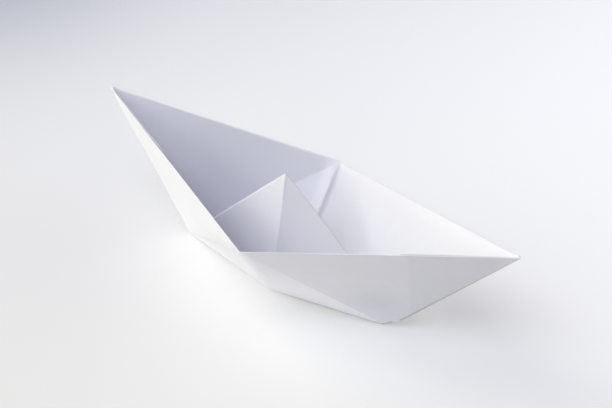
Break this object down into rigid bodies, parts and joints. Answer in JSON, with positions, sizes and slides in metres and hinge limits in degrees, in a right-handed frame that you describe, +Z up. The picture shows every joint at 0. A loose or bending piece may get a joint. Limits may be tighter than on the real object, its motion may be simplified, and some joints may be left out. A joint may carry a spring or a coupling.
{
  "type": "folded paper boat",
  "caption": "Paper boat folded from one plain white sheet, with a pointed sail, an open hold on either side of it and upturned pointed ends.",
  "frame": {"origin": "centre of the bounding box's bottom face, on the surface the boat stands on", "axes": "+X along the hull towards the right-hand tip in the picture, -Y towards the near side, +Z up"},
  "size_m": [0.191, 0.0758, 0.0606],
  "materials": {
    "white_paper": "matte"
  },
  "bodies": {
    "root": {"folded_sheet": "white_paper"}
  },
  "joints": []
}
